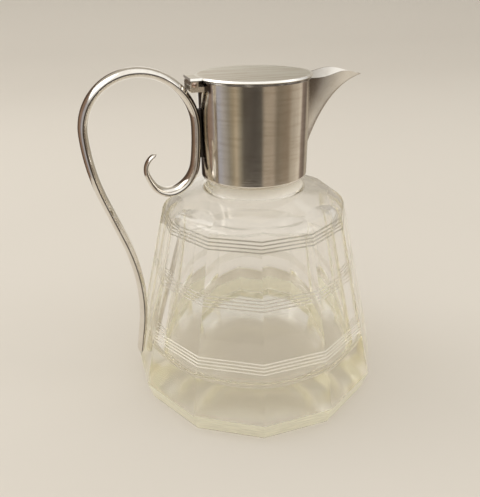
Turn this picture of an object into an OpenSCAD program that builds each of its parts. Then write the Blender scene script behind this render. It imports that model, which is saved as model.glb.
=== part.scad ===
// Claret jug: cut-glass body, plated collar with spout and scroll handle, flat hinged lid.
// Millimetres. The foot's centre is the origin, +Z is up, the spout points along +X.

/* [Glass body] */

// Number of cut panels round the body
panels = 12; // [8:2:16]
// Across opposite panels at the top of the foot bevel
body_w = 153.8; // [120:0.2:190]
// Across opposite panels on the table
foot_w = 147.6; // [110:0.2:185]
// Height of the foot bevel
bevel_h = 12; // [4:0.5:20]
// Inward lean of the panels, in degrees
lean = 13.4; // [0:0.1:25]
// Height of the shoulder's rounding centre
shoulder_z = 109.2; // [80:0.1:140]
// Shoulder rounding of the panels
shoulder_r = 11.9; // [6:0.1:20]
// Outside radius of the glass neck
neck_r = 27.6; // [18:0.1:28.4]
// Bore of the glass neck
neck_bore = 22.4; // [14:0.1:24]
// Top of the glass neck, inside the collar
neck_top = 148; // [138:0.5:160]
// Thickness of the glass wall
wall = 4.8; // [3:0.1:8]
// Thickness of the base in the middle
base_t = 6; // [5:0.5:18]
// Radius of the dished floor inside
dish_r = 100; // [80:1:200]
// Rounding between the inside wall and the dish
floor_r = 8; // [4:0.5:16]

/* [Cut bands] */

// Height of the lowest band
band_low = 45.2; // [20:0.1:60]
// Height of the middle band
band_mid = 80.2; // [60:0.1:95]
// Height of the top band
band_top = 110.9; // [96:0.1:116]
// Lines in a band
lines = 4; // [1:1:6]
// Distance between lines
line_pitch = 1.9; // [1.4:0.05:3]
// Width of a line
line_w = 0.6; // [0.4:0.05:1.6]
// Depth of a line
line_d = 0.45; // [0.1:0.05:0.8]

/* [Collar] */

// Outside radius of the collar
collar_r = 30.5; // [28:0.1:36]
// Thickness of the collar wall
collar_t = 1.0; // [0.6:0.1:2]
// Bottom of the collar
collar_z = 132.4; // [128:0.1:140]
// Rounding of the lower edge
collar_edge = 2.2; // [1.4:0.1:4]
// Height of the mouth, where the lid rests
mouth_z = 187.2; // [170:0.1:200]
// Radius of the wire round the mouth
wire_r = 0.55; // [0.4:0.05:1.2]

/* [Spout] */

// How far the tip stands out from the jug's axis
spout_reach = 64.8; // [50:0.1:80]
// Height of the tip
spout_tip_z = 184.7; // [170:0.1:196]
// Height where the keel leaves the collar
keel_z = 137; // [134:0.5:160]
// Half width of the lip at the collar
lip_w = 11.8; // [6:0.1:16]
// Rise of the lip between collar and tip
lip_rise = 2.8; // [0:0.1:6]
// Thickness of the spout wall
spout_t = 0.9; // [0.6:0.1:1.6]

/* [Handle] */

// Radius of the large loop, to the middle of the strap
loop_r = 29.4; // [20:0.1:36]
// Height of the large loop's centre
loop_z = 162.7; // [140:0.1:175]
// Width of the strap
strap_w = 12.4; // [6:0.1:16]
// Thickness of the strap
strap_t = 5.2; // [3:0.1:8]

/* [Hinge and lid] */

// Distance from the jug's axis to the pin
pin_x = 34.6; // [33:0.1:38]
// Height of the pin
pin_z = 185.2; // [182:0.1:186]
// Radius of the pin
pin_r = 0.85; // [0.6:0.05:1.2]
// Radius of the lid
lid_r = 31.5; // [30:0.1:36]
// Thickness of the lid
lid_t = 1.3; // [0.8:0.1:2.5]
// Width of the tongue
tongue_w = 16; // [10:0.5:22]
// Tail of the tongue behind the pin
tail = 1.9; // [1:0.1:3]

/* [Hidden] */

$fn = 96;
e = 0.03;
half_step = 180 / panels;
foot_f = foot_w / 2;
bevel_f = body_w / 2;
// centre of the panels' shoulder rounding
sh_x = bevel_f - tan(lean) * (shoulder_z + (shoulder_r - e) * sin(lean) - bevel_h)
    - (shoulder_r - e) * cos(lean);
// the round blank that the panels are cut from
blank_r = shoulder_r + 1.1;
blank_x = sh_x + 1.2;
blank_z = shoulder_z - 0.9;
blank_a = 72;
fillet_r = 5;
top_z = shoulder_z + 90;
lid_z = mouth_z + lid_t;
cheek_in = tongue_w / 2 - 2.4;
strap_x = collar_r + strap_t / 2 + 0.05;

// point at a distance and an angle from a centre
function polar(c, r, a) = [c[0] + r * cos(a), c[1] + r * sin(a)];
// radius of a panel's middle at a height
function panel_f(z) = z > shoulder_z + shoulder_r * sin(lean)
    ? sh_x + sqrt(pow(shoulder_r, 2) - pow(z - shoulder_z, 2))
    : bevel_f - tan(lean) * (z - bevel_h);

// ---------- glass ----------

module cut_line(z) {
    r = panel_f(z);
    translate([r, z])
        polygon([[0.2, -line_w * 0.72], [-line_d, 0], [0.2, line_w * 0.72]]);
}

module band(z) {
    for (i = [0:lines - 1])
        cut_line(z + (i - (lines - 1) / 2) * line_pitch);
}

// half of the section across two opposite panels
module panel_half() {
    c = [sh_x, shoulder_z];
    t1 = polar(c, shoulder_r - e, lean);
    t2 = polar(c, shoulder_r - e, 62);
    rise = tan(28);
    difference() {
        union() {
            polygon([[0, 0], [foot_f, 0], [bevel_f, bevel_h], t1, t2,
                [30, t2[1] + (t2[0] - 30) * rise], [30, top_z], [0, top_z]]);
            translate(c)
                circle(r = shoulder_r);
        }
        band(band_low);
        band(band_mid);
        band(band_top);
    }
}

module panel_pair() {
    rotate([90, 0, 0])
        linear_extrude(height = body_w + 60, center = true)
            union() {
                panel_half();
                mirror([1, 0])
                    panel_half();
            }
}

// section of the round blank, with the neck
module blank_half() {
    c = [blank_x, blank_z];
    t1 = polar(c, blank_r - e, lean + 0.5);
    t2 = polar(c, blank_r - e, blank_a);
    slope = tan(90 - blank_a);
    fx = neck_r + fillet_r - e;
    fz = t2[1] + (t2[0] - fx) * slope + (fillet_r - e) / sin(blank_a);
    f1 = polar([fx, fz], fillet_r - e, blank_a + 180);
    difference() {
        union() {
            polygon([[0, 0], [bevel_f + 14, 0], [bevel_f + 14, bevel_h + 20], t1, t2, f1,
                [fx, fz], [neck_r, fz], [neck_r, neck_top], [0, neck_top]]);
            translate(c)
                circle(r = blank_r);
        }
        translate([fx, fz])
            circle(r = fillet_r);
    }
}

// section of the inside, shoulder to the dished floor
module cavity_half() {
    drop = 1.6;
    sr = shoulder_r - wall + drop * sin(lean);
    c2 = [sh_x, shoulder_z - drop];
    n = [cos(lean), sin(lean)];
    // centre of the dish, and of the rounding that lies inside it and against the wall
    dz = base_t + dish_r;
    a = c2[0] * n[0] + c2[1] * n[1] + sr - floor_r - dz * n[1];
    t = sqrt(pow(dish_r - floor_r, 2) - a * a);
    c1 = [a * n[0] + t * n[1], dz + a * n[1] - t * n[0]];
    // where the rounding runs into the dish
    grow = dish_r / (dish_r - floor_r);
    q = [c1[0] * grow, dz + (c1[1] - dz) * grow];
    t2 = polar(c2, sr - e, blank_a);
    slope = tan(90 - blank_a);
    lz = t2[1] + (t2[0] - neck_bore) * slope;
    polygon([[0, q[1] - e], [q[0] - e, q[1] - e], c1, polar(c1, floor_r - e, lean),
        polar(c2, sr - e, lean), t2, [neck_bore + 2.5, lz - 2.5 * slope], [neck_bore, lz + 2.2],
        [neck_bore, neck_top + 10], [0, neck_top + 10]]);
    translate(c1)
        circle(r = floor_r);
    translate(c2)
        circle(r = sr);
    intersection() {
        translate([0, dz])
            circle(r = dish_r);
        translate([0, base_t - 1])
            square([q[0] - e, q[1] - base_t + 1]);
    }
}

module glass_body() {
    color([0.86, 0.9, 0.82, 0.35])
        difference() {
            intersection() {
                rotate_extrude()
                    blank_half();
                for_panels(0);
                for_panels(1);
                for_panels(2);
                for_panels(3);
                for_panels(4);
                for_panels(5);
                for_panels(6);
                for_panels(7);
            }
            rotate_extrude()
                cavity_half();
        }
}

// each pair of panels once; a step past the last pair repeats the first
module for_panels(i) {
    rotate([0, 0, (i % (panels / 2)) * 360 / panels])
        panel_pair();
}

module neck_cement() {
    top = neck_top - 1;
    low = collar_z + collar_edge;
    color([0.82, 0.79, 0.72])
        difference() {
            translate([0, 0, low])
                cylinder(r = collar_r - collar_t, h = top - low);
            translate([0, 0, low - 1])
                cylinder(r = neck_r, h = top - low + 2);
        }
}

// ---------- collar ----------

// the window behind the spout, wider at the mouth
module spout_window() {
    w = lip_w - spout_t - 1.4;
    rotate([90, 0, 90])
        linear_extrude(height = collar_r + 10)
            polygon([[-w, mouth_z + 20], [-w, mouth_z - 8], [-w * 0.72, mouth_z - 22],
                [-w * 0.3, neck_top + 3.6], [0, neck_top + 2.4], [w * 0.3, neck_top + 3.6],
                [w * 0.72, mouth_z - 22], [w, mouth_z - 8], [w, mouth_z + 20]]);
}

module collar() {
    cz = collar_z + collar_edge;
    cx = collar_r - collar_edge;
    color([0.74, 0.73, 0.7])
        difference() {
            union() {
                translate([0, 0, cz])
                    difference() {
                        cylinder(r = collar_r, h = mouth_z - cz);
                        translate([0, 0, -1])
                            cylinder(r = collar_r - collar_t, h = mouth_z - cz + 2);
                    }
                rotate_extrude()
                    intersection() {
                        translate([cx, cz])
                            difference() {
                                circle(r = collar_edge);
                                circle(r = collar_edge - collar_t);
                            }
                        translate([neck_r + 0.1, collar_z - 1])
                            square([collar_edge + 3, collar_edge + 1]);
                    }
            }
            spout_window();
        }
}

module rim_bead() {
    color([0.8, 0.79, 0.76])
        difference() {
            translate([0, 0, mouth_z - 0.3 - wire_r])
                rotate_extrude()
                    translate([collar_r, 0])
                        circle(r = wire_r);
            translate([0, 0, mouth_z - 6])
                cylinder(r = collar_r, h = 12);
            translate([collar_r / 2, -lip_w - 0.4, mouth_z - 6])
                cube([collar_r, 2 * lip_w + 0.8, 12]);
            translate([-collar_r * 1.5, -tongue_w / 2 - 0.3, mouth_z - 6])
                cube([collar_r, tongue_w + 0.6, 12]);
        }
}

// ---------- spout ----------

spout_n = 22;
spout_m = 9;
keel_a = [collar_r, keel_z];
keel_b = [collar_r + 3.5, keel_z + 17];
keel_c = [collar_r + 14.5, spout_tip_z - 4.7];
keel_d = [spout_reach, spout_tip_z - 0.5];
function bez(t) = pow(1 - t, 3) * keel_a + 3 * t * pow(1 - t, 2) * keel_b
    + 3 * t * t * (1 - t) * keel_c + pow(t, 3) * keel_d;
function bez_d(t) = bez(min(t + 0.01, 1)) - bez(max(t - 0.01, 0));
function along(x) = (x - collar_r) / (spout_reach - collar_r);
function lip_half(s) = lip_w * (1 - 0.22 * s) * pow(1 - pow(0.99 * s, 4), 0.7);
function lip_z(s) = mouth_z - 1.7 + (spout_tip_z - mouth_z + 1.7) * s
    + lip_rise * pow(sin(180 * pow(s, 1.25)), 3.4 - 2 * s);
// a point of the spout: t from collar to tip, v from -1 to 1 across, inset for the inner skin
function spout_pt(t, v, inset) =
    let (k = bez(t),
         d = bez_d(t),
         s = along(k[0]),
         w = max(lip_half(s) - inset, 0.22),
         steep = sqrt(1 + pow(d[1] / max(d[0], 0.001), 2)),
         drop = inset == 0 ? 0 : min(inset * steep, 4.2) * min(1, 8 * (1 - t) + 0.12),
         zl = lip_z(s),
         zk = min(k[1] + drop, zl - 0.12),
         u = abs(v),
         y = w * sign(v) * pow(u, 0.62),
         r = collar_r + 0.02,
         x = k[0] + 0.02 - (r - sqrt(r * r - y * y)) * pow(1 - s, 1.5))
    [inset == 0 ? x : min(x, spout_reach - 1.1), y, zk + (zl - zk) * u];

module spout() {
    m = 2 * spout_m + 1;
    vs = [for (j = [0:m - 1]) let (q = (j - spout_m) / spout_m) sign(q) * pow(abs(q), 1.35)];
    pts = [for (i = [0:spout_n])
        let (t = i / spout_n)
        each concat([for (j = [0:m - 1]) spout_pt(t, vs[j], 0)],
            [for (j = [m - 1:-1:0]) spout_pt(t, vs[j], spout_t)])];
    n = 2 * m;
    sides = [for (i = [0:spout_n - 1], j = [0:n - 1])
        let (a = i * n + j, b = i * n + (j + 1) % n)
        each [[a, b + n, b], [a, a + n, b + n]]];
    first = [for (j = [0:m - 2])
        let (a = j, b = j + 1, c = n - 2 - j, d = n - 1 - j)
        each [[a, c, d], [a, b, c]]];
    o = spout_n * n;
    last = [for (j = [0:m - 2])
        let (a = o + j, b = o + j + 1, c = o + n - 2 - j, d = o + n - 1 - j)
        each [[a, d, c], [a, c, b]]];
    color([0.8, 0.79, 0.75])
        polyhedron(points = pts, faces = concat(sides, first, last), convexity = 8);
}

// ---------- handle ----------

// a turn of the strap's middle line: state [x, z, heading], turn [radius, sweep], 0 sweep runs straight
function turn(s, a, f) = a[1] == 0
    ? [s[0] + a[0] * f * cos(s[2]), s[1] + a[0] * f * sin(s[2]), s[2]]
    : let (g = sign(a[1]), h = s[2] + a[1] * f)
      [s[0] - g * a[0] * sin(s[2]) + g * a[0] * sin(h),
       s[1] + g * a[0] * cos(s[2]) - g * a[0] * cos(h), h];
function run(s, chain, k) = k == 0 ? s : turn(run(s, chain, k - 1), chain[k - 1], 1);
function span(a) = a[1] == 0 ? a[0] : a[0] * abs(a[1]) * PI / 180;
function trace(s, chain, step) = [for (k = [0:len(chain) - 1])
    let (n = ceil(span(chain[k]) / step), from = run(s, chain, k))
    for (i = [1:n]) turn(from, chain[k], i / n)];
function total(chain, k) = k == 0 ? 0 : total(chain, k - 1) + span(chain[k - 1]);

// from the collar down into the curl
curl = [[135, -8.6], [18.3, -62.5], [10.3, -78.3], [28.2, -12.5], [9, -89.5]];
// from the collar over the top and down to the foot of the handle
sweep = [[loop_r, 180], [115, 18], [26, 0], [128, -28], [18.5, 0]];
strap_step = 2.6;

module handle() {
    start_down = [-strap_x, loop_z, 270];
    start_up = [-strap_x, loop_z, 90];
    down = trace(start_down, curl, strap_step);
    up = trace(start_up, sweep, strap_step);
    nd = len(down);
    // one list of stations from the curl's tip to the lower end, all headings one way
    path = concat([for (i = [nd - 1:-1:0]) [down[i][0], down[i][1], down[i][2] + 180]],
        [start_up], up);
    n = len(path);
    m = 18;
    pts = [for (i = [0:n - 1])
        let (p = path[i],
             d0 = i * strap_step * 0.96,
             d1 = (n - 1 - i) * strap_step * 0.96,
             round0 = sqrt(1 - pow(1 - min(d0 / 2.6 + 0.1, 1), 2)),
             round1 = sqrt(1 - pow(1 - min(d1 / 3.4 + 0.1, 1), 2)),
             g = min(d0 / 34, 1),
             ease = g * g * (3 - 2 * g),
             low = min(d1 / 70, 1),
             w = strap_w * (0.52 + 0.48 * ease) * (0.76 + 0.24 * low) * round0 * round1,
             t = strap_t * (0.42 + 0.58 * ease) * (0.88 + 0.12 * low) * round0 * round1)
        for (j = [0:m - 1])
            let (a = j * 360 / m,
                 y = w / 2 * cos(a),
                 q = t / 2 * sin(a) * pow(abs(sin(a)), 0.4))
            [p[0] - q * sin(p[2]), y, p[1] + q * cos(p[2])]];
    sides = [for (i = [0:n - 2], j = [0:m - 1])
        let (a = i * m + j, b = i * m + (j + 1) % m)
        each [[a, b + m, b], [a, a + m, b + m]]];
    cap0 = [[for (j = [0:m - 1]) j]];
    cap1 = [[for (j = [m - 1:-1:0]) (n - 1) * m + j]];
    color([0.78, 0.77, 0.74])
        polyhedron(points = pts, faces = concat(sides, cap0, cap1), convexity = 10);
}

module handle_solder() {
    color([0.7, 0.69, 0.66])
        difference() {
            translate([-collar_r - 1.5, -1.8, loop_z - 17])
                cube([3, 3.6, 26]);
            translate([0, 0, loop_z - 30])
                cylinder(r = collar_r, h = 60);
        }
}

// ---------- hinge ----------

module cheek() {
    low = pin_z - 3.6;
    cr = mouth_z - pin_z - 0.25;
    difference() {
        union() {
            rotate([90, 0, 0])
                linear_extrude(height = 2.4)
                    union() {
                        translate([-pin_x, pin_z])
                            circle(r = cr);
                        polygon([[-pin_x - cr, low], [-pin_x - cr, pin_z], [-pin_x, pin_z + cr],
                            [-pin_x + 2.2, pin_z + cr], [-pin_x + 2.2, low + 2.6],
                            [-collar_r + 3, low + 2.6], [-collar_r + 3, low]]);
                    }
        }
        translate([-pin_x, 1, pin_z])
            rotate([90, 0, 0])
                cylinder(r = pin_r, h = 5);
    }
}

module hinge_bracket() {
    low = pin_z - 3.6;
    color([0.72, 0.7, 0.66])
        difference() {
            union() {
                translate([0, -cheek_in, 0])
                    cheek();
                translate([0, tongue_w / 2, 0])
                    cheek();
                translate([-pin_x - 1.75, -cheek_in - 0.2, low])
                    cube([8, 2 * cheek_in + 0.4, 0.85]);
            }
            translate([0, 0, low - 1])
                cylinder(r = collar_r, h = 12);
        }
}

module hinge_pin() {
    color([0.66, 0.6, 0.52])
        translate([-pin_x, 0, pin_z])
            rotate([90, 0, 0]) {
                cylinder(r = pin_r, h = tongue_w, center = true);
                for (s = [0, 1])
                    mirror([0, 0, s])
                        translate([0, 0, tongue_w / 2])
                            intersection() {
                                translate([0, 0, -0.9])
                                    sphere(r = 1.55);
                                cylinder(r = 3, h = 2);
                            }
            }
}

// ---------- lid ----------

module lid_plate() {
    color([0.76, 0.75, 0.71])
        union() {
            translate([0, 0, mouth_z])
                cylinder(r = lid_r - 0.3, h = lid_t);
            translate([0, 0, mouth_z + 0.3])
                cylinder(r = lid_r, h = lid_t - 0.6);
            translate([-pin_x - tail, -tongue_w / 2, mouth_z])
                cube([pin_x + tail - 20, tongue_w, lid_t]);
        }
}

module lid_knuckle() {
    w = 2 * cheek_in - 0.4;
    cr = mouth_z - pin_z - 0.25;
    color([0.72, 0.7, 0.66])
        difference() {
            translate([-pin_x, w / 2, pin_z])
                rotate([90, 0, 0])
                    linear_extrude(height = w)
                        union() {
                            circle(r = cr);
                            translate([-1.3, 0])
                                square([2.9, mouth_z - pin_z]);
                        }
            translate([-pin_x, w, pin_z])
                rotate([90, 0, 0])
                    cylinder(r = pin_r + 0.05, h = 2 * w);
        }
}

module lid_bezel() {
    r = collar_r - collar_t - 0.8;
    h = 3.6;
    color([0.74, 0.73, 0.7])
        difference() {
            translate([0, 0, mouth_z - h])
                cylinder(r = r, h = h);
            translate([0, 0, mouth_z - h - 1])
                cylinder(r = r - 0.9, h = h + 2);
            translate([r / 2, -lip_w, mouth_z - h - 1])
                cube([r, 2 * lip_w, h + 2]);
        }
}

glass_body();
neck_cement();
collar();
rim_bead();
spout();
handle();
handle_solder();
hinge_bracket();
hinge_pin();
lid_plate();
lid_knuckle();
lid_bezel();
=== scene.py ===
"""Claret jug: cut glass, plated collar, beak spout, scroll handle and a flat lid on a pin hinge.

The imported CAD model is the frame. The glass, collar, bead, hinge and lid keep their CAD shapes and get
their finishes here. The handle and the spout are made again with smooth skins.
Everything is in metres. The jug's axis is Z, the spout points along +X and the handle is at -X.
"""

import math

import bmesh
import bpy
import numpy as np
from bpy.props import FloatProperty, FloatVectorProperty, IntProperty, PointerProperty
from mathutils import Matrix, Vector


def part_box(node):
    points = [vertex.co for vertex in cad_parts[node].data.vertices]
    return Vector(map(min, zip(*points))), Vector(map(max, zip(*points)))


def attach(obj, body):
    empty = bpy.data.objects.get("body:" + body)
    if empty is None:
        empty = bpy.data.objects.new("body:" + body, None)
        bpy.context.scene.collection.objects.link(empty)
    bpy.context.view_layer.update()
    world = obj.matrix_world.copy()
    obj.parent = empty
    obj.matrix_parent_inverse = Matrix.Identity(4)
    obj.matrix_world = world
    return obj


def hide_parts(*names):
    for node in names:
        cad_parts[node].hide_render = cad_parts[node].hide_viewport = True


bl_info = {
    "name": "Claret jug",
    "version": (1, 0, 0),
    "blender": (4, 5, 0),
    "location": "View3D > Sidebar > Jug",
    "description": "Builds a cut-glass claret jug with a hinged lid and its studio",
    "category": "Object",
}

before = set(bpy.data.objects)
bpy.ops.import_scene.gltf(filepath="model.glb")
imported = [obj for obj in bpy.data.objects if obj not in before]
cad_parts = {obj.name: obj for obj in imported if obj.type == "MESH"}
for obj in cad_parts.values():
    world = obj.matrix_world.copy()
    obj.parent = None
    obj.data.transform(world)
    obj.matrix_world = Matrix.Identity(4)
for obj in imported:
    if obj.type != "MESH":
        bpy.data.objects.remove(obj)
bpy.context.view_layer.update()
MM = 0.001


def top_corner(node):
    """The highest corner of a CAD piece's box, in metres."""
    return [float(v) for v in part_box(node)[1]]


COLLAR_RADIUS, MOUTH_Z = top_corner("collar")[1:]
LID_RADIUS, LID_TOP = top_corner("lid_plate")[1:]
# the glass's panels lean inwards from the top of the foot's bevel, which is where it is widest
FLAT_RADIUS = top_corner("glass_body")[1]
BEVEL_TOP = 12.0 * MM
PANEL_LEAN = math.radians(13.4)
# cut lines: the step between two, and for each band its height, how dark its lines are painted, as the shade
# the grooves show by refraction, and how white
LINE_STEP = 1.9 * MM
BANDS = (
    (45.2 * MM, 0.0, 0.55),
    (80.2 * MM, 0.55, 0.2),
    (110.9 * MM, 1.0, 0.0),
)


# ---------------------------------------------------------------- node trees


class Value:
    """One output in a node tree. Python's operators on it add the Math nodes."""

    def __init__(self, tree, socket):
        self.tree = tree
        self.socket = socket

    def math(self, operation, *others, clamp=False):
        node = self.tree.nodes.new("ShaderNodeMath")
        node.operation = operation
        node.use_clamp = clamp
        for slot, item in zip(node.inputs, (self, *others)):
            join(self.tree, item, slot)
        return Value(self.tree, node.outputs[0])

    def __add__(self, other):
        return self.math("ADD", other)

    def __sub__(self, other):
        return self.math("SUBTRACT", other)

    def __mul__(self, other):
        return self.math("MULTIPLY", other)

    def __truediv__(self, other):
        return self.math("DIVIDE", other)

    def __pow__(self, other):
        return self.math("POWER", other)

    def __abs__(self):
        return self.math("ABSOLUTE")

    __radd__ = __add__
    __rmul__ = __mul__

    def __rsub__(self, other):
        node = self.tree.nodes.new("ShaderNodeMath")
        node.operation = "SUBTRACT"
        join(self.tree, other, node.inputs[0])
        join(self.tree, self, node.inputs[1])
        return Value(self.tree, node.outputs[0])

    def clamp(self):
        return self.math("ADD", 0.0, clamp=True)

    def sqrt(self):
        return self.math("SQRT")

    def least(self, other):
        return self.math("MINIMUM", other)

    def most(self, other):
        return self.math("MAXIMUM", other)

    def ease(self, low, high):
        """0 below low, 1 above high, and a smooth step between."""
        node = self.tree.nodes.new("ShaderNodeMapRange")
        node.interpolation_type = "SMOOTHSTEP"
        join(self.tree, self, node.inputs["Value"])
        join(self.tree, low, node.inputs["From Min"])
        join(self.tree, high, node.inputs["From Max"])
        return Value(self.tree, node.outputs["Result"])


def join(tree, item, socket):
    """Link a Value or a socket, or write a plain number, colour or vector."""
    if isinstance(item, Value):
        item = item.socket
    if isinstance(item, bpy.types.NodeSocket):
        tree.links.new(item, socket)
    else:
        socket.default_value = item


class Wiring:
    """Adds nodes to a tree."""

    def __init__(self, tree):
        self.tree = tree

    def add(self, kind, settings=None, sockets=None, out=0):
        """One node, its settings first and then its sockets by name or number."""
        node = self.tree.nodes.new(kind)
        for name, setting in (settings or {}).items():
            setattr(node, name, setting)
        for name, item in (sockets or {}).items():
            join(self.tree, item, node.inputs[name])
        return Value(self.tree, node.outputs[out])

    def split(self, vector):
        node = self.tree.nodes.new("ShaderNodeSeparateXYZ")
        join(self.tree, vector, node.inputs[0])
        return [Value(self.tree, o) for o in node.outputs]

    def bundle(self, x, y, z):
        return self.add("ShaderNodeCombineXYZ", sockets={0: x, 1: y, 2: z})

    def blend(self, share, first, second):
        """A colour between two colours."""
        node = self.tree.nodes.new("ShaderNodeMix")
        node.data_type = "RGBA"
        join(self.tree, share, node.inputs[0])
        join(self.tree, first, node.inputs[6])
        join(self.tree, second, node.inputs[7])
        return Value(self.tree, node.outputs[2])

    def ray(self, first, second):
        """1 for light rays of either of two kinds."""
        rays = self.tree.nodes.new("ShaderNodeLightPath")
        return Value(self.tree, rays.outputs[first]).most(rays.outputs[second])


class Finish(Wiring):
    """A material under construction."""

    def __init__(self, name):
        self.material = bpy.data.materials.new(name)
        self.material.use_nodes = True
        super().__init__(self.material.node_tree)
        self.tree.nodes.clear()
        self.output = self.tree.nodes.new("ShaderNodeOutputMaterial")
        self.place = self.add("ShaderNodeTexCoord", out="Object")

    def noise(self, vector, detail=2.0, roughness=0.5):
        return self.add(
            "ShaderNodeTexNoise",
            sockets={"Vector": vector, "Scale": 1.0, "Detail": detail, "Roughness": roughness},
        )

    def stretched(self, x, y, z):
        """The object's coordinates, each times its own factor."""
        px, py, pz = self.split(self.place)
        return self.bundle(px * x, py * y, pz * z)

    def surface(self, **sockets):
        """The main shader, whose sockets are named with underscores for spaces."""
        named = {k.replace("_", " "): v for k, v in sockets.items()}
        shader = self.add("ShaderNodeBsdfPrincipled", sockets=named, out="BSDF")
        self.tree.links.new(shader.socket, self.output.inputs["Surface"])
        return self.material

    def bump(self, height, strength, distance):
        return self.add(
            "ShaderNodeBump",
            sockets={"Height": height, "Strength": strength, "Distance": distance},
        )

    def ramp(self, place, stops):
        """A colour that runs through stops, each a place from 0 to 1 and its colour."""
        tone = self.add("ShaderNodeValToRGB", sockets={"Fac": place}, out="Color")
        elements = tone.socket.node.color_ramp.elements
        while len(elements) < len(stops):
            elements.new(0.5)
        for element, (spot, colour) in zip(elements, stops):
            element.position = spot
            element.color = colour
        return tone


# ---------------------------------------------------------------- finishes


def cut_lines(z, skin):
    """How much a place is in a cut line of the outer skin, how dark it is painted there as the shade the
    grooves refract, and how white.
    """
    lines = painted_groove_shade = frost = 0.0
    for height, painted_band_shade, white in BANDS:
        rows = (z - height) / LINE_STEP
        near = (1.0 - abs((rows + 1.0).math("FRACT") - 0.5).ease(0.17, 0.25)) * (
            1.0 - abs(rows).ease(1.9, 2.1)
        )
        near = near * skin
        lines = near + lines
        painted_groove_shade = near * painted_band_shade + painted_groove_shade
        frost = near * white + frost
    return lines.clamp(), painted_groove_shade.clamp(), frost


def bevel_wear_and_glow(f, x, y, z, radius):
    """The foot's ground bevel, worn in streaks round it; its pale yellow is also painted light, the glow of
    light that leaves the thick foot there.
    """
    streaks = f.noise(f.bundle(y.math("ARCTAN2", x) * 7.0, 0.0, z * 900), detail=3.0)
    bevel = radius.ease(70.0 * MM, 71.2 * MM) * z.ease(0.3 * MM, 0.8 * MM)
    bevel = bevel * (1.0 - z.ease(BEVEL_TOP - 0.2 * MM, BEVEL_TOP + 0.2 * MM))
    return bevel * (0.42 + 0.5 * streaks)


def pale_neck_band(f, y, z, radius):
    """A pale cream band on the glass neck below the collar, thin towards the spout and the handle."""
    pale_band = (1.0 - radius.ease(28.4 * MM, 29.8 * MM)) * radius.ease(25.5 * MM, 27.0 * MM)
    pale_band = pale_band * z.ease(124.5 * MM, 126.2 * MM) * (abs(y) / radius).ease(0.15, 0.55)
    return pale_band * (0.85 + 0.2 * f.noise(f.stretched(160, 160, 160)))


def glass_finish(looks):
    """Clear glass, faintly yellow where it is thick, and dull where it is ground; its cut lines are painted
    darker as shade and its bevel carries a painted glow.
    """
    f = Finish("cut_glass")
    x, y, z = f.split(f.place)
    radius = (x * x + y * y).sqrt()
    outside = radius - (FLAT_RADIUS - math.tan(PANEL_LEAN) * (z - BEVEL_TOP)) + 1.2 * MM
    lines, painted_groove_shade, frost = cut_lines(z, outside.ease(0.0, 0.2 * MM))
    haze = f.noise(f.stretched(900, 900, 900), detail=3.0)
    # the blown inside is less bright than the polished panels, most of all near its floor
    inner = 1.0 - outside.ease(-3.0 * MM, -1.0 * MM)
    inner = inner * (0.075 + 0.045 * (1.0 - z.ease(34.0 * MM, 44.0 * MM)))
    sole = 1.0 - z.ease(0.2 * MM, 0.8 * MM)
    wave = f.noise(f.stretched(38, 38, 22), detail=1.0)
    # the cut lines' colour is painted darker, for the shade that the grooves show by refraction
    clear = f.add(
        "ShaderNodeBsdfPrincipled",
        sockets={
            "Base Color": f.blend(painted_groove_shade * 0.75, (*looks.tint, 1.0), (*looks.groove_shade, 1.0)),
            "Roughness": lines * (0.1 + 0.22 * haze) + inner + sole * 0.03,
            "IOR": 1.51,
            "Transmission Weight": 1.0,
            "Normal": f.bump(wave, 0.3, 0.6 * MM),
        },
        out="BSDF",
    )
    # ground and unpolished glass: the bevel's colour low down, which is partly a painted glow, and the
    # neck's above it
    ground = f.add(
        "ShaderNodeBsdfPrincipled",
        sockets={
            "Base Color": f.blend(z.ease(14.0 * MM, 30.0 * MM), (*looks.bevel, 1.0), (*looks.neck, 1.0)),
            "Roughness": 0.42,
        },
        out="BSDF",
    )
    dull = (pale_neck_band(f, y, z, radius) + frost + bevel_wear_and_glow(f, x, y, z, radius)).clamp()
    wall = f.add("ShaderNodeMixShader", sockets={0: dull, 1: clear, 2: ground}, out="Shader")
    body = f.add(
        "ShaderNodeVolumeAbsorption",
        sockets={"Color": (*looks.depth_tint, 1.0), "Density": looks.depth},
    )
    # light that the floor gathers passes straight through, as it would through thin glass
    falls = f.ray("Is Shadow Ray", "Is Diffuse Ray")
    passing = f.add("ShaderNodeBsdfTransparent", sockets={"Color": (*looks.pass_tint, 1.0)}, out="BSDF")
    both = f.add("ShaderNodeMixShader", sockets={0: falls, 1: wall, 2: passing}, out="Shader")
    f.tree.links.new(both.socket, f.output.inputs["Surface"])
    f.tree.links.new(body.socket, f.output.inputs["Volume"])
    return f.material


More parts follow.
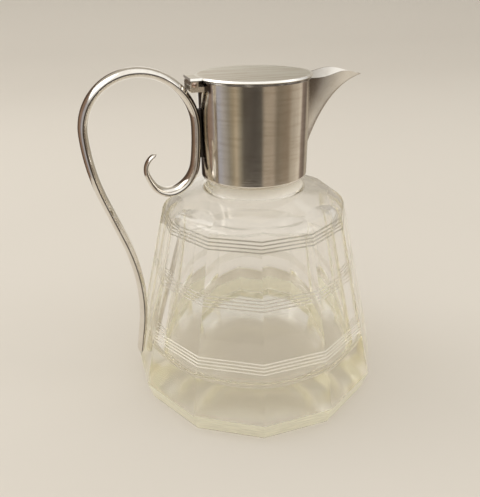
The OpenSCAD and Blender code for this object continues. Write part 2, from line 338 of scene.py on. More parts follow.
def silver_finish(name, looks, scratches, wear=1.0, dulling=0.0, painted_shade=None):
    """Plated silver: fine scratches, a little tarnish in patches and softer gloss where it is worn.

    The scratches are round the jug or random. A painted shade is a function of the finish and x, y, z that
    gives how much dark shade is painted there.
    """
    f = Finish(name)
    x, y, z = f.split(f.place)
    if scratches == "round":
        turn = y.math("ARCTAN2", x)
        fine = f.noise(f.bundle(turn * 4.0, 0.0, z * 1700), detail=5.0, roughness=0.65)
        coarse = f.noise(f.bundle(turn * 1.6, 3.0, z * 500))
    else:
        fine = f.noise(f.stretched(1800, 1800, 1800), detail=3.0, roughness=0.7)
        coarse = f.noise(f.stretched(240, 240, 240))
    patches = f.noise(f.stretched(42, 42, 30), detail=3.0, roughness=0.55)
    tarnish = (patches.ease(0.45, 0.72) * 0.34 * wear).clamp()
    colour = f.blend(tarnish, (*looks.silver, 1.0), (*looks.tarnish, 1.0))
    rubbed = fine.ease(0.5, 0.8) * 0.35 + coarse.ease(0.42, 0.7) * 0.3
    colour = f.blend((rubbed * wear).clamp(), colour, (*looks.tarnish, 1.0))
    # painted shade: dark laid over the plate where shade or a dark reflection falls
    if painted_shade:
        colour = f.blend(painted_shade(f, x, y, z), colour, (*looks.painted_shade, 1.0))
    roughness = looks.gloss + dulling + fine.ease(0.35, 0.75) * 0.1 * wear + coarse * 0.05 * wear
    return f.surface(
        Base_Color=colour,
        Metallic=1.0,
        Roughness=roughness,
        Normal=f.bump(fine + coarse * 0.6, 0.1 * wear, 0.04 * MM),
    )


def handle_reflection_and_hinge_shade(f, x, y, z):
    """Painted dark on the collar: behind the handle as the handle's dark reflection, and round the hinge as
    the shade under the lid's tongue.
    """
    back = 1.0 - x.ease(-24.0 * MM, -22.0 * MM)
    reflected_strip = 1.0 - abs(y).ease(3.4 * MM, 4.6 * MM)
    hinge = (1.0 - abs(y).ease(12.5 * MM, 14.5 * MM)) * z.ease(180.5 * MM, 182.5 * MM)
    return (back * reflected_strip.most(hinge) * 0.94).clamp()


def spout_root_shade(f, x, y, z):
    """Painted shade where the spout meets the collar, more of it higher up, and a little along its keel,
    thin towards the tip; faint over the rest.
    """
    root = (1.0 - x.ease(30.0 * MM, 54.0 * MM)) * z.ease(152.0 * MM, 186.0 * MM)
    keel = (1.0 - abs(y).ease(0.3 * MM, 1.2 * MM)) * (1.0 - x.ease(56.0 * MM, 62.0 * MM))
    return (root * 0.66 + keel * 0.2 + 0.06).clamp()


def strap_side_shade(f, x, y, z):
    """Painted brown shade and dark reflection along the two sharp sides of the strap."""
    side = f.add("ShaderNodeAttribute", {"attribute_name": "strap_side"}, out="Fac")
    return side.ease(0.952, 0.985) * 0.85


def bead_shadow(f, x, y, z):
    """Painted grey shadow of the lid's rim all along the bead, lighter in places."""
    return (1.0 - f.noise(f.stretched(90, 90, 90)).ease(0.45, 0.7)) * 0.8


def lid_finish(looks):
    """The lid's top: satin, rubbed by a cloth, with straight hairlines; a band round its rim and its edge
    get a painted highlight, and the edge is soft.
    """
    f = Finish("satin_lid")
    along = f.noise(f.stretched(45, 2600, 60), detail=4.0, roughness=0.6)
    broad = f.noise(f.stretched(14, 420, 20), detail=3.0, roughness=0.6)
    across = f.noise(f.stretched(2600, 90, 60), detail=3.0, roughness=0.6)
    cloud = f.noise(f.stretched(38, 38, 38), detail=3.0)
    x, y, z = f.split(f.place)
    radius = (x * x + y * y).sqrt()
    top = z.ease(LID_TOP - 0.08 * MM, LID_TOP - 0.02 * MM)
    worn = top * (cloud.ease(0.35, 0.75) * 0.4 + along.ease(0.45, 0.75) * 0.7 + broad.ease(0.45, 0.62) * 0.7)
    colour = f.blend(worn.clamp(), (*looks.lid, 1.0), (*looks.tarnish, 1.0))
    # painted highlight: a lighter band round the top's rim, and the edge below the top in the bright edge
    # colour
    rim_highlight = top * radius.ease(LID_RADIUS - 1.9 * MM, LID_RADIUS - 0.7 * MM)
    rim_highlight = rim_highlight * (1.0 - radius.ease(LID_RADIUS + 0.3 * MM, LID_RADIUS + 0.7 * MM))
    colour = f.blend((rim_highlight * 0.6).clamp(), colour, (*looks.edge, 1.0))
    colour = f.blend(1.0 - top, colour, (*looks.edge, 1.0))
    roughness = 0.3 + top * (looks.satin - 0.3 + along.ease(0.3, 0.8) * 0.12 + cloud * 0.06)
    # the edge is shaded as if it were rounded: it leans up and catches the light from above
    relief = 0.05 * MM
    lean = (LID_TOP - z) * 0.8 / relief * (1.0 - top)
    lean = lean * radius.ease(LID_RADIUS - 1.5 * MM, LID_RADIUS - 0.5 * MM)
    return f.surface(
        Base_Color=colour,
        Metallic=1.0,
        Roughness=roughness,
        Normal=f.bump((along + across * 0.5) * 0.22 + lean, 1.0, relief),
    )


def pin_finish():
    """A worn rivet: copper showing through the plate on the domed heads."""
    f = Finish("worn_rivet")
    spots = f.noise(f.stretched(1100, 1100, 1100), detail=3.0)
    rubbed = f.blend(spots.ease(0.4, 0.6), (0.62, 0.5, 0.42, 1.0), (0.42, 0.24, 0.17, 1.0))
    return f.surface(
        Base_Color=rubbed,
        Metallic=1.0,
        Roughness=0.26 + spots * 0.2,
        Normal=f.bump(spots, 0.3, 0.06 * MM),
    )


def plaster_finish():
    """The dry bed between the neck and the collar."""
    f = Finish("plaster_bed")
    coarse = f.noise(f.stretched(700, 700, 700), detail=5.0, roughness=0.65)
    colour = f.blend(coarse, (0.62, 0.57, 0.48, 1.0), (0.78, 0.75, 0.68, 1.0))
    return f.surface(
        Base_Color=colour,
        Roughness=0.86 + coarse * 0.1,
        Normal=f.bump(coarse, 0.6, 0.3 * MM),
    )


def shaded_solder_finish():
    """Solder with small pits, painted near black as the shade and dark reflection in the gap between the
    strap and the collar.
    """
    f = Finish("shaded_solder")
    pits = f.noise(f.stretched(1300, 1300, 1300), detail=4.0)
    colour = f.blend(pits, (0.07, 0.06, 0.055, 1.0), (0.16, 0.145, 0.13, 1.0))
    return f.surface(
        Base_Color=colour,
        Metallic=1.0,
        Roughness=0.34 + pits * 0.2,
        Normal=f.bump(pits, 0.5, 0.1 * MM),
    )


# ---------------------------------------------------------------- mesh helpers


def mesh_piece(name, points, faces, sharp):
    """A mesh object from arrays, smooth but for edges sharper than an angle."""
    mesh = bpy.data.meshes.new(name)
    mesh.from_pydata([tuple(p) for p in points], [], [tuple(f) for f in faces])
    mesh.validate()
    piece = bpy.data.objects.new(name, mesh)
    bpy.context.scene.collection.objects.link(piece)
    smooth(piece, sharp)
    return piece


def smooth(piece, sharp):
    """Smooth shading but for edges sharper than an angle."""
    mesh = piece.data
    mesh.polygons.foreach_set("use_smooth", [True] * len(mesh.polygons))
    mesh.set_sharp_from_angle(angle=math.radians(sharp))
    mesh.update()


def face_out(piece):
    """Merge doubles and turn every face outwards."""
    work = bmesh.new()
    work.from_mesh(piece.data)
    bmesh.ops.remove_doubles(work, verts=work.verts, dist=MM / 1000)
    bmesh.ops.recalc_face_normals(work, faces=work.faces)
    work.to_mesh(piece.data)
    work.free()
    piece.data.update()


def dress(name, material):
    """Give a CAD piece its finish."""
    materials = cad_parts[name].data.materials
    materials.clear()
    materials.append(material)


def take_place(piece, body, slot, *nodes):
    """A made piece rides on a body and stands for CAD nodes."""
    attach(piece, body)
    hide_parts(*nodes)


# ---------------------------------------------------------------- settings


class GlassLooks(bpy.types.PropertyGroup):
    tint: FloatVectorProperty(
        name="Tint", description="Colour of the glass surface", subtype="COLOR",
        default=(1.0, 1.0, 1.0), min=0.0, max=1.0,
    )
    depth_tint: FloatVectorProperty(
        name="Depth tint", description="Colour that thick glass tends to", subtype="COLOR",
        default=(0.97, 0.925, 0.72), min=0.0, max=1.0,
    )
    # colour of the pale band on the neck below the collar
    neck: FloatVectorProperty(
        name="Neck", description="Colour of the ground neck below the collar", subtype="COLOR",
        default=(1.0, 0.94, 0.82), min=0.0, max=1.0,
    )
    # the bevel colour is partly a painted glow of light leaving the thick foot
    bevel: FloatVectorProperty(
        name="Bevel", description="Colour of the worn bevel round the foot", subtype="COLOR",
        default=(1.0, 0.975, 0.78), min=0.0, max=1.0,
    )
    # the groove colour is painted shade in the cut lines
    groove_shade: FloatVectorProperty(
        name="Groove", description="Colour of the darkest cut lines", subtype="COLOR",
        default=(0.3, 0.29, 0.26), min=0.0, max=1.0,
    )
    pass_tint: FloatVectorProperty(
        name="Shadow tint", description="Light that gets through one wall on its way down", subtype="COLOR",
        default=(0.90, 0.89, 0.865), min=0.0, max=1.0,
    )
    depth: FloatProperty(
        name="Depth", description="How fast thick glass takes its tint", default=5.0, min=0.0, max=60.0
    )


class MetalLooks(bpy.types.PropertyGroup):
    silver: FloatVectorProperty(
        name="Silver", description="Clean plate", subtype="COLOR",
        default=(0.84, 0.805, 0.745), min=0.0, max=1.0,
    )
    tarnish: FloatVectorProperty(
        name="Tarnish", description="Tarnished plate", subtype="COLOR",
        default=(0.62, 0.55, 0.46), min=0.0, max=1.0,
    )
    lid: FloatVectorProperty(
        name="Lid", description="The lid's satin top", subtype="COLOR",
        default=(0.82, 0.805, 0.735), min=0.0, max=1.0,
    )
    # the lid edge colour is a painted highlight on the lid's edge and rim
    edge: FloatVectorProperty(
        name="Lid edge", description="The lid's bright edge", subtype="COLOR",
        default=(0.97, 0.95, 0.9), min=0.0, max=1.0,
    )
    # this colour is the painted shade and dark reflection on the collar, spout, strap and bead
    painted_shade: FloatVectorProperty(
        name="Stain", description="Dark tarnish in the corners", subtype="COLOR",
        default=(0.06, 0.045, 0.045), min=0.0, max=1.0,
    )
    gloss: FloatProperty(
        name="Gloss", description="Roughness of the polished plate", default=0.07, min=0.0, max=1.0
    )
    satin: FloatProperty(
        name="Satin", description="Roughness of the lid's top", default=0.3, min=0.0, max=1.0
    )


class HandleSizes(bpy.types.PropertyGroup):
    loop_radius: FloatProperty(
        name="Loop radius", description="Radius of the large loop", default=29.4 * MM,
        min=0.02, max=0.036, subtype="DISTANCE", unit="LENGTH",
    )
    loop_height: FloatProperty(
        name="Loop height", description="Height of the large loop's centre", default=162.7 * MM,
        min=0.14, max=0.175, subtype="DISTANCE", unit="LENGTH",
    )
    width: FloatProperty(
        name="Width", description="Width of the strap", default=12.4 * MM,
        min=0.006, max=0.016, subtype="DISTANCE", unit="LENGTH",
    )
    thickness: FloatProperty(
        name="Thickness", description="Thickness of the strap", default=5.1 * MM,
        min=0.003, max=0.008, subtype="DISTANCE", unit="LENGTH",
    )
    spacing: FloatProperty(
        name="Spacing", description="Distance between sections of the strap", default=1.1 * MM,
        min=0.0005, max=0.004, subtype="DISTANCE", unit="LENGTH",
    )


class SpoutSizes(bpy.types.PropertyGroup):
    reach: FloatProperty(
        name="Reach", description="How far the tip stands from the jug's axis", default=64.8 * MM,
        min=0.05, max=0.08, subtype="DISTANCE", unit="LENGTH",
    )
    tip: FloatProperty(
        name="Tip height", description="Height of the tip", default=184.7 * MM,
        min=0.17, max=0.196, subtype="DISTANCE", unit="LENGTH",
    )
    lip: FloatProperty(
        name="Half width", description="Half width of the lip at the collar", default=11.8 * MM,
        min=0.006, max=0.016, subtype="DISTANCE", unit="LENGTH",
    )
    wall: FloatProperty(
        name="Wall", description="Thickness of the sheet", default=0.9 * MM,
        min=0.0005, max=0.002, subtype="DISTANCE", unit="LENGTH",
    )
    rings: IntProperty(name="Rings", description="Sections from collar to tip", default=72, min=12, max=160)


class StudioSettings(bpy.types.PropertyGroup):
    lens: FloatProperty(name="Lens", description="Focal length", default=36.3, min=10.0, max=120.0)
    floor: FloatVectorProperty(
        name="Floor", description="Colour of the floor", subtype="COLOR",
        default=(0.69, 0.64, 0.565), min=0.0, max=1.0,
    )
    sky: FloatProperty(name="Sky", description="Light from the sides", default=0.5, min=0.0, max=4.0)
    zenith: FloatProperty(name="Zenith", description="Light from above", default=1.12, min=0.0, max=4.0)
    behind: FloatProperty(
        name="Behind", description="Backdrop above the floor", default=0.67, min=0.0, max=4.0
    )
    key: FloatProperty(name="Key", description="Power of the large lamp", default=6.0, min=0.0, max=100.0)


# ---------------------------------------------------------------- handle


def arc_points(x, z, heading, turns, step=1.0 * MM):
    """Points x, z along a chain of arcs. A turn is a radius and degrees, or a straight length and 0."""
    points = []
    for size, sweep in turns:
        length = size if sweep == 0 else size * abs(math.radians(sweep))
        count = max(1, math.ceil(length / step))
        x0, z0, h0 = x, z, heading
        for i in range(1, count + 1):
            share = i / count
            if sweep == 0:
                x = x0 + size * share * math.cos(h0)
                z = z0 + size * share * math.sin(h0)
            else:
                side = math.copysign(1.0, sweep)
                heading = h0 + math.radians(sweep) * share
                x = x0 - side * size * (math.sin(h0) - math.sin(heading))
                z = z0 + side * size * (math.cos(h0) - math.cos(heading))
            points.append((x, z))
    return points


def handle_line(sizes):
    """The strap's middle line, from the curl's tip over the loop to the lower end."""
    x = -(COLLAR_RADIUS + sizes.thickness / 2 + 0.05 * MM)
    z = sizes.loop_height
    to_curl = [(135 * MM, -8.6), (18.3 * MM, -62.5), (10.3 * MM, -78.3), (28.2 * MM, -12.5), (9 * MM, -89.5)]
    to_foot = [(sizes.loop_radius, 180), (115 * MM, 18), (26 * MM, 0), (128 * MM, -28), (18.5 * MM, 0)]
    down = arc_points(x, z, math.radians(270), to_curl)
    up = arc_points(x, z, math.radians(90), to_foot)
    return [*reversed(down), (x, z), *up]


def round_end(distance, length):
    """How full the strap is at a distance from an end that is rounded over a length."""
    flat = 1.0 - (distance / length + 0.02).least(1.0)
    return (1.0 - flat**2.0).sqrt()


def kept(w, geometry, name, value):
    """Store a number on a geometry's points, to be read again after the sweep."""
    settings = {"data_type": "FLOAT", "domain": "POINT"}
    sockets = {"Geometry": geometry, "Name": name, "Value": value}
    return w.add("GeometryNodeStoreNamedAttribute", settings, sockets)


def moved(w, geometry, place):
    """Set the places of a geometry's points."""
    return w.add("GeometryNodeSetPosition", None, {"Geometry": geometry, "Position": place})


def strap_tree(sizes, material):
    """Nodes that sweep a pointed oval along a line, finer towards both ends."""
    tree = bpy.data.node_groups.new("strap_sweep", "GeometryNodeTree")
    face = tree.interface
    face.new_socket("Line", in_out="INPUT", socket_type="NodeSocketGeometry")
    for label, size in sizes.items():
        socket = face.new_socket(label, in_out="INPUT", socket_type="NodeSocketFloat")
        socket.default_value = size
    face.new_socket("Strap", in_out="OUTPUT", socket_type="NodeSocketGeometry")
    w = Wiring(tree)
    given = tree.nodes.new("NodeGroupInput").outputs
    width, thick = (Value(tree, given[label]) for label in ("Width", "Thickness"))
    line = w.add(
        "GeometryNodeResampleCurve", {"mode": "LENGTH"},
        {"Curve": given["Line"], "Length": given["Spacing"]},
    )

    # half sizes along the line, which starts at the curl's tip
    from_curl = w.add("GeometryNodeSplineParameter", out="Length")
    from_foot = w.add("GeometryNodeSplineLength", out="Length") - from_curl
    ends = round_end(from_curl, 2.6 * MM) * round_end(from_foot, 3.4 * MM)
    grow = from_curl.ease(0.0, 34.0 * MM)
    low = (from_foot / (70.0 * MM)).least(1.0)
    half_width = width * 0.5 * (0.52 + grow * 0.48) * (0.76 + low * 0.24) * ends
    half_thick = thick * 0.5 * (0.42 + grow * 0.58) * (0.88 + low * 0.12) * ends
    line = w.add("GeometryNodeSetCurveNormal", {"mode": "FREE"}, {"Curve": line, "Normal": (0.0, 1.0, 0.0)})
    line = kept(w, line, "strap_spread", half_width / half_thick)

    # the profile is a circle pinched to two sharp sides, and its own x is kept for the painted shade along
    # those sides
    ring = w.add("GeometryNodeCurvePrimitiveCircle", {"mode": "RADIUS"}, {"Resolution": 44, "Radius": 1.0})
    x, y, _ = w.split(w.add("GeometryNodeInputPosition"))
    ring = kept(w, ring, "strap_side", abs(x))
    oval = moved(w, ring, w.bundle(x, y * abs(y) ** 0.4, 0.0))
    strap = w.add(
        "GeometryNodeCurveToMesh", None,
        {"Curve": line, "Profile Curve": oval, "Scale": half_thick, "Fill Caps": True},
    )

    # the sweep is as wide as it is thick, and is then spread sideways
    spread = w.add("GeometryNodeInputNamedAttribute", {"data_type": "FLOAT"}, {"Name": "strap_spread"})
    x, y, z = w.split(w.add("GeometryNodeInputPosition"))
    strap = moved(w, strap, w.bundle(x, y * spread, z))
    strap = w.add("GeometryNodeRealizeInstances", None, {"Geometry": strap})
    strap = w.add("GeometryNodeSetMaterial", None, {"Geometry": strap, "Material": material})
    out = tree.nodes.new("NodeGroupOutput")
    tree.links.new(strap.socket, out.inputs["Strap"])
    return tree


def run_tree(source, tree, values, name):
    """Evaluate a node tree on an object and return the plain mesh object it makes."""
    modifier = source.modifiers.new("made", "NODES")
    modifier.node_group = tree
    for item in tree.interface.items_tree:
        if item.in_out == "INPUT" and item.name in values:
            modifier[item.identifier] = values[item.name]
    graph = bpy.context.evaluated_depsgraph_get()
    mesh = bpy.data.meshes.new_from_object(source.evaluated_get(graph))
    mesh.name = name
    piece = bpy.data.objects.new(name, mesh)
    bpy.context.scene.collection.objects.link(piece)
    source.modifiers.remove(modifier)
    bpy.data.objects.remove(source)
    return piece


class JUG_OT_handle(bpy.types.Operator):
    """Sweep the scroll handle along its line of arcs"""

    bl_idname = "jug.handle"
    bl_label = "Scroll handle"

    def execute(self, context):
        looks, sizes = context.scene.jug_metal, context.scene.jug_handle
        points = handle_line(sizes)
        curve = bpy.data.curves.new("handle_line", "CURVE")
        curve.dimensions = "3D"
        spline = curve.splines.new("POLY")
        spline.points.add(len(points) - 1)
        for point, (x, z) in zip(spline.points, points):
            point.co = (x, 0.0, z, 1.0)
        line = bpy.data.objects.new("handle_line", curve)
        context.scene.collection.objects.link(line)
        # the strap's sharp sides get painted shade and dark reflection
        silver = silver_finish("handle_silver", looks, "random", 0.8, 0.02, strap_side_shade)
        values = {"Width": sizes.width, "Thickness": sizes.thickness, "Spacing": sizes.spacing}
        handle = run_tree(line, strap_tree(values, silver), values, "scroll_handle")
        face_out(handle)
        smooth(handle, 52)
        take_place(handle, "jug", "silver_plate", "handle")
        return {"FINISHED"}


# ---------------------------------------------------------------- spout


def spout_skin(sizes):
    """Outer and inner skin of the beak: a row of points for each section from the collar to the tip."""
    start = COLLAR_RADIUS
    seam = 0.02 * MM
    across = 22
    lip_root = MOUTH_Z - 1.7 * MM
    keel = np.array([
        [start, 137.0 * MM],
        [start + 3.5 * MM, 154.0 * MM],
        [start + 14.5 * MM, sizes.tip - 4.7 * MM],
        [sizes.reach, sizes.tip - 0.5 * MM],
    ])

    def bezier(t):
        """The keel's x and z, as a cubic curve."""
        return (
            (1 - t) ** 3 * keel[0] + 3 * t * (1 - t) ** 2 * keel[1]
            + 3 * t * t * (1 - t) * keel[2] + t**3 * keel[3]
        )

    def lip_half(s):
        """Half the lip's width at a share of the reach."""
        return sizes.lip * (1 - 0.22 * s) * max(1 - (0.99 * s) ** 4, 0.0) ** 0.7

    def lip_height(s):
        """Height of the lip's edge, which swells up between the collar and the tip."""
        swell = max(math.sin(math.pi * max(s, 0.0) ** 1.25), 0.0) ** (3.4 - 2 * s)
        return lip_root + (sizes.tip - lip_root) * s + 2.8 * MM * swell

    def point(t, v, inset):
        """A point at t along the keel and v across, from -1 at one lip to 1 at the other."""
        keel_x, keel_z = bezier(t)
        run, rise = bezier(min(t + 0.01, 1)) - bezier(max(t - 0.01, 0))
        s = (keel_x - start) / (sizes.reach - start)
        half = max(lip_half(s) - inset, 0.22 * MM)
        steep = math.sqrt(1 + (rise / max(run, MM / 1000)) ** 2)
        drop = min(inset * steep, 4.2 * MM) * min(1, 8 * (1 - t) + 0.12)
        top = lip_height(s)
        low = min(keel_z + drop, top - 0.12 * MM)
        y = half * math.copysign(abs(v) ** 0.62, v)
        r = start + seam
        x = keel_x + seam - (r - math.sqrt(r * r - y * y)) * (1 - s) ** 1.5
        if inset:
            x = min(x, sizes.reach - 1.1 * MM)
        return (x, y, low + (top - low) * abs(v))

    vs = [math.copysign(abs(q) ** 1.35, q) for q in np.linspace(-1, 1, 2 * across + 1)]
    ts = np.linspace(0, 1, sizes.rings + 1)
    return [[[point(t, v, inset) for v in vs] for t in ts] for inset in (0.0, sizes.wall)]


class JUG_OT_spout(bpy.types.Operator):
    """Raise the beak spout from the collar's window to its tip"""

    bl_idname = "jug.spout"
    bl_label = "Beak spout"

    def execute(self, context):
        looks, sizes = context.scene.jug_metal, context.scene.jug_spout
        outer, inner = spout_skin(sizes)
        points = [p for o, i in zip(outer, inner) for p in o + i[::-1]]
        last_ring, half = len(outer) - 1, len(outer[0])
        n = 2 * half
        faces, inside = [], []
        for i in range(last_ring):
            for j in range(n):
                k = (j + 1) % n
                faces.append((i * n + j, (i + 1) * n + j, (i + 1) * n + k, i * n + k))
                inside.append(half <= j < n - 1)
        # strips between the two skins close the root and the tip
        tip = last_ring * n
        for j in range(half - 1):
            faces.append((j, j + 1, n - 2 - j, n - 1 - j))
            faces.append((tip + n - 1 - j, tip + n - 2 - j, tip + j + 1, tip + j))
        spout = mesh_piece("beak_spout", points, faces, 40)
        for face, within in zip(spout.data.polygons, inside):
            face.material_index = int(within)
        face_out(spout)
        smooth(spout, 40)
        # the outer skin gets painted shade at its root and along its keel
        spout.data.materials.append(silver_finish("spout_silver", looks, "random", 0.7, 0.07, spout_root_shade))
        spout.data.materials.append(silver_finish("spout_inside", looks, "random", 0.6, 0.26))
        take_place(spout, "jug", "silver_plate", "spout")
        return {"FINISHED"}


# ---------------------------------------------------------------- glass, collar, hinge, lid


class JUG_OT_glass(bpy.types.Operator):
    """Finish the cut-glass body and its plaster bed"""

    bl_idname = "jug.glass"
    bl_label = "Cut glass"

    def execute(self, context):
        dress("glass_body", glass_finish(context.scene.jug_glass))
        dress("neck_cement", plaster_finish())
        return {"FINISHED"}


class JUG_OT_collar(bpy.types.Operator):
    """Finish the collar, the bead round its mouth and the solder seam"""

    bl_idname = "jug.collar"
    bl_label = "Collar"

    def execute(self, context):
        looks = context.scene.jug_metal
        # the collar gets a painted dark reflection behind the handle and painted shade round the hinge, the
        # bead a painted shadow and the solder painted shade
        dress("collar", silver_finish("collar_silver", looks, "round", 1.0, painted_shade=handle_reflection_and_hinge_shade))
        dress("rim_bead", silver_finish("bead_silver", looks, "round", 0.5, 0.1, bead_shadow))
        dress("handle_solder", shaded_solder_finish())
        return {"FINISHED"}


class JUG_OT_hinge(bpy.types.Operator):
    """Finish the two cheeks and the rivet pin"""

    bl_idname = "jug.hinge"
    bl_label = "Hinge"

    def execute(self, context):
        looks = context.scene.jug_metal
        dress("hinge_bracket", silver_finish("cheek_silver", looks, "random", 2.2, 0.08))
        dress("hinge_pin", pin_finish())
        return {"FINISHED"}


class JUG_OT_lid(bpy.types.Operator):
    """Finish the lid, its knuckle and its bezel"""

    bl_idname = "jug.lid"
    bl_label = "Lid"

    def execute(self, context):
        looks = context.scene.jug_metal
        dress("lid_plate", lid_finish(looks))
        dress("lid_knuckle", silver_finish("knuckle_silver", looks, "random", 1.2, 0.08))
        dress("lid_bezel", silver_finish("bezel_silver", looks, "round", 0.8))
        return {"FINISHED"}


# ---------------------------------------------------------------- studio


def pale_floor(colour):
    """A floor that runs up into a backdrop, a hair below the jug's foot."""
    half, sink = 3.0, 0.05 * MM
    profile = [(-2.5, 0.0), (1.2, 0.0), (1.6, 0.05), (1.9, 0.2), (2.1, 0.5), (2.2, 1.0), (2.2, 2.6)]
    points = [(x, y, z - sink) for y, z in profile for x in (-half, half)]
    faces = [(2 * i, 2 * i + 1, 2 * i + 3, 2 * i + 2) for i in range(len(profile) - 1)]
    floor = mesh_piece("studio_floor", points, faces, 80)
    floor.data.materials.append(Finish("pale_floor").surface(Base_Color=(*colour, 1.0), Roughness=0.9))


def softbox(name, place, size, power):
    """A large lamp that looks at the jug."""
    lamp = bpy.data.lights.new(name, "AREA")
    lamp.shape = "RECTANGLE"
    lamp.size, lamp.size_y = size
    lamp.energy = power
    box = bpy.data.objects.new(name, lamp)
    bpy.context.scene.collection.objects.link(box)
    box.location = place
    aim = Vector((0, 0, 0.1)) - Vector(place)
    box.rotation_euler = aim.to_track_quat("-Z", "Y").to_euler()


# tones of the studio's cards by azimuth in degrees: black, brown and pale ones
CARDS = [
    (-180, (0.42, 0.41, 0.44)),
    (-172, (0.40, 0.37, 0.35)),
    (-158, (0.27, 0.24, 0.19)),
    (-150, (0.36, 0.295, 0.20)),
    (-144, (0.50, 0.41, 0.29)),
    (-137, (0.30, 0.26, 0.19)),
    (-128, (0.115, 0.098, 0.078)),
    (-108, (0.085, 0.072, 0.06)),
    (-94, (0.10, 0.088, 0.072)),
    (-88, (0.34, 0.28, 0.21)),
    (-70, (0.38, 0.31, 0.235)),
    (-62, (0.22, 0.18, 0.13)),
    (-36, (0.27, 0.21, 0.15)),
    (-27, (0.42, 0.36, 0.28)),
    (-2, (0.64, 0.56, 0.46)),
    (4, (0.24, 0.185, 0.15)),
    (20, (0.16, 0.125, 0.1)),
    (27, (0.46, 0.39, 0.30)),
    (60, (0.34, 0.31, 0.25)),
    (74, (0.60, 0.56, 0.48)),
    (88, (1.0, 0.96, 0.88)),
    (96, (1.0, 0.96, 0.88)),
    (104, (0.10, 0.07, 0.05)),
    (134, (0.10, 0.066, 0.045)),
    (144, (0.26, 0.165, 0.11)),
    (160, (0.26, 0.19, 0.15)),
    (170, (0.40, 0.38, 0.40)),
    (180, (0.42, 0.41, 0.44)),
]


def card_ring():
    """A low ring of tinted cards round the jug that only its silver and glass mirror."""
    radius, height, count = 0.36, 0.32, 180
    points = [
        (radius * math.cos(a), radius * math.sin(a), z)
        for a in np.linspace(-math.pi, math.pi, count + 1)
        for z in (0.0, height)
    ]
    faces = [(2 * i, 2 * i + 1, 2 * i + 3, 2 * i + 2) for i in range(count)]
    ring = mesh_piece("studio_cards", points, faces, 80)
    f = Finish("studio_cards")
    x, y, z = f.split(f.place)
    turn = y.math("ARCTAN2", x) / math.tau + 0.5
    tone = f.ramp(turn, [((azimuth + 180) / 360, (*colour, 1.0)) for azimuth, colour in CARDS])
    cloud = f.noise(f.bundle(x * 9.0, y * 9.0, z * 16.0), detail=3.0, roughness=0.6)
    glow = f.add("ShaderNodeEmission", sockets={"Color": tone, "Strength": 0.62 + cloud * 0.76})
    f.tree.links.new(glow.socket, f.output.inputs["Surface"])
    ring.data.materials.append(f.material)
    ring.visible_camera = False
    ring.visible_diffuse = False
    ring.visible_transmission = False
    ring.visible_shadow = False


def even_light(studio):
    """A dome that is brighter above, with one even warm tone where it is seen or looked through to."""
    world = bpy.data.worlds.new("even_light")
    world.use_nodes = True
    dome = Wiring(world.node_tree)
    sky = world.node_tree.nodes["Background"]
    up = dome.split(dome.add("ShaderNodeTexCoord", out="Generated"))[2]
    level = up.ease(0.25, 0.9) * (studio.zenith - studio.sky) + studio.sky
    seen = dome.ray("Is Transmission Ray", "Is Camera Ray")
    tone = dome.blend(seen, (1.0, 0.985, 0.955, 1.0), (1.0, 0.935, 0.83, 1.0))
    join(dome.tree, tone, sky.inputs["Color"])
    join(dome.tree, level + seen * (studio.behind - level), sky.inputs["Strength"])
    return world


def photo_view(lens):
    """The camera, where the picture was taken from."""
    ahead = Vector((0.2702, 0.8492, -0.4538)).normalized()
    level = ahead.cross(Vector((0, 0, 1))).normalized()
    up = level.cross(ahead)
    roll = math.radians(-0.89)
    right = math.cos(roll) * level + math.sin(roll) * up
    top = -math.sin(roll) * level + math.cos(roll) * up
    camera = bpy.data.cameras.new("photo_view")
    camera.lens = lens
    camera.sensor_width = 36.0
    view = bpy.data.objects.new("photo_view", camera)
    bpy.context.scene.collection.objects.link(view)
    turn = Matrix((right, top, -ahead)).transposed().to_4x4()
    view.matrix_world = Matrix.Translation((-0.09375, -0.26608, 0.22643)) @ turn
    return view


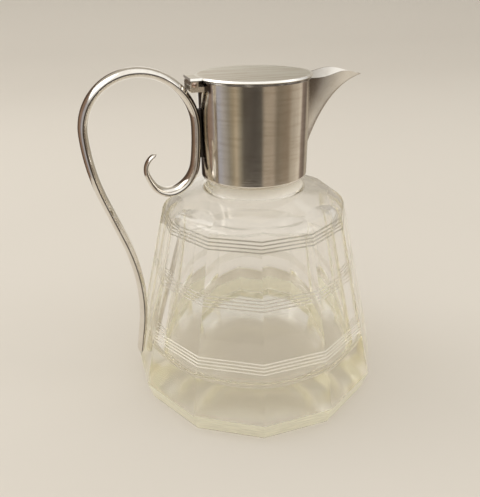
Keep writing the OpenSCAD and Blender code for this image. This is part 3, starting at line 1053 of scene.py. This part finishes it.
class JUG_OT_studio(bpy.types.Operator):
    """Set up the floor, the even light, the lamps and the camera"""

    bl_idname = "jug.studio"
    bl_label = "Studio"

    def execute(self, context):
        scene = context.scene
        studio = scene.jug_studio
        pale_floor(studio.floor)
        card_ring()
        scene.world = even_light(studio)
        softbox("key_light", (-0.9, 0.55, 1.25), (0.9, 0.9), studio.key)
        softbox("side_light", (1.1, -0.5, 0.9), (0.5, 0.8), studio.key * 0.35)
        scene.camera = photo_view(studio.lens)
        scene.view_settings.view_transform = "Standard"
        # light goes to and fro many times in the thick foot before it leaves
        scene.cycles.max_bounces = 40
        scene.cycles.glossy_bounces = 32
        scene.cycles.transmission_bounces = 40
        return {"FINISHED"}


class JUG_PT_panel(bpy.types.Panel):
    """Every piece of the jug and its studio"""

    bl_idname = "JUG_PT_panel"
    bl_label = "Claret jug"
    bl_space_type = "VIEW_3D"
    bl_region_type = "UI"
    bl_category = "Jug"

    def draw(self, context):
        scene = context.scene
        for title, holder, operators in (
            ("Glass", scene.jug_glass, ("jug.glass",)),
            ("Metal", scene.jug_metal, ("jug.collar", "jug.hinge", "jug.lid")),
            ("Handle", scene.jug_handle, ("jug.handle",)),
            ("Spout", scene.jug_spout, ("jug.spout",)),
            ("Studio", scene.jug_studio, ("jug.studio",)),
        ):
            column = self.layout.column(align=True)
            column.label(text=title)
            for name in type(holder).__annotations__:
                column.prop(holder, name)
            for operator in operators:
                column.operator(operator)


HOLDERS = {
    "jug_glass": GlassLooks,
    "jug_metal": MetalLooks,
    "jug_handle": HandleSizes,
    "jug_spout": SpoutSizes,
    "jug_studio": StudioSettings,
}
CLASSES = (
    *HOLDERS.values(),
    JUG_OT_glass,
    JUG_OT_collar,
    JUG_OT_spout,
    JUG_OT_handle,
    JUG_OT_hinge,
    JUG_OT_lid,
    JUG_OT_studio,
    JUG_PT_panel,
)


def register():
    for item in CLASSES:
        bpy.utils.register_class(item)
    for name, holder in HOLDERS.items():
        setattr(bpy.types.Scene, name, PointerProperty(type=holder))


def unregister():
    for name in HOLDERS:
        delattr(bpy.types.Scene, name)
    for item in reversed(CLASSES):
        bpy.utils.unregister_class(item)


def main():
    register()
    bpy.ops.jug.glass()
    bpy.ops.jug.collar()
    bpy.ops.jug.spout()
    bpy.ops.jug.handle()
    bpy.ops.jug.hinge()
    bpy.ops.jug.lid()
    bpy.ops.jug.studio()


if __name__ == "__main__":
    main()
